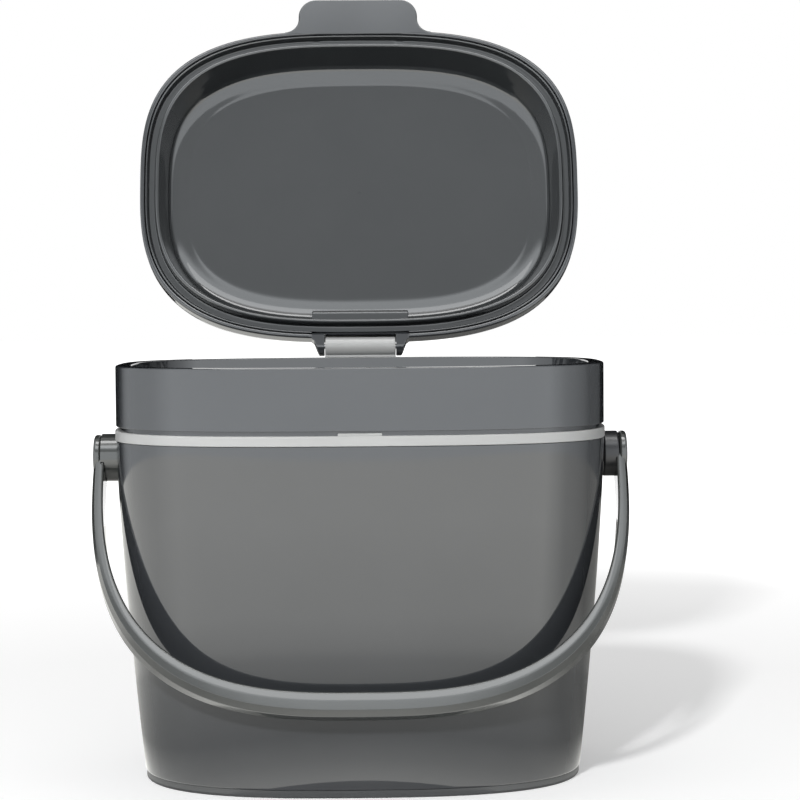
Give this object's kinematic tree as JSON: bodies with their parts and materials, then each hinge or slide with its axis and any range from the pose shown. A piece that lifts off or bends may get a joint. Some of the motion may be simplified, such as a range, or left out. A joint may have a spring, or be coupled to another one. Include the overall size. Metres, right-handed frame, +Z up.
{
  "type": "compost caddy with hinged lid",
  "caption": "Countertop compost caddy: tapered oval bucket, light accent ring, lift-off collar, domed hinged lid with thumb tab and swinging bail handle.",
  "frame": {"origin": "centre of the foot pad's underside, on the table", "axes": "+Z up, +Y to the back where the hinge is, +X to the right seen from the front"},
  "size_m": [0.311, 0.2892, 0.4693],
  "materials": {
    "dark_gloss": "high gloss moulded polypropylene, charcoal grey",
    "liner_gloss": "gloss moulded inner face with faint ejector and gate marks",
    "handle_grey": "semi-gloss moulded plastic, charcoal grey",
    "bearing_black": "satin moulded plastic, near black",
    "light_grey": "satin moulded plastic, light grey",
    "foot_rubber": "matte non-slip rubber",
    "steel": "plain bright steel"
  },
  "bodies": {
    "bucket_body": {"bucket": "dark_gloss", "foot_pad": "foot_rubber", "accent_ring": "light_grey", "left_bearing": "bearing_black", "right_bearing": "bearing_black"},
    "handle_body": {"handle": "handle_grey", "left_pivot_pin": "bearing_black", "right_pivot_pin": "bearing_black"},
    "collar_body": {"collar": "dark_gloss", "hinge_bracket": "light_grey", "hinge_screws": "steel"},
    "lid_body": {"lid_cover": "dark_gloss", "lid_liner": "liner_gloss", "hinge_pin": "steel"}
  },
  "joints": [
    {"name": "handle_swing", "type": "hinge", "parent": "bucket_body", "child": "handle_body", "pos_m": [0, 0, 0.1833], "axis": [-1, 0, 0], "range_deg": [0, 170]},
    {"name": "collar_lift", "type": "slide", "parent": "bucket_body", "child": "collar_body", "axis": [0, 0, 1], "range_m": [0, 0.015]},
    {"name": "lid_hinge", "type": "hinge", "parent": "collar_body", "child": "lid_body", "pos_m": [0, 0.107, 0.2446], "axis": [1, 0, 0], "range_deg": [0, 105]}
  ]
}
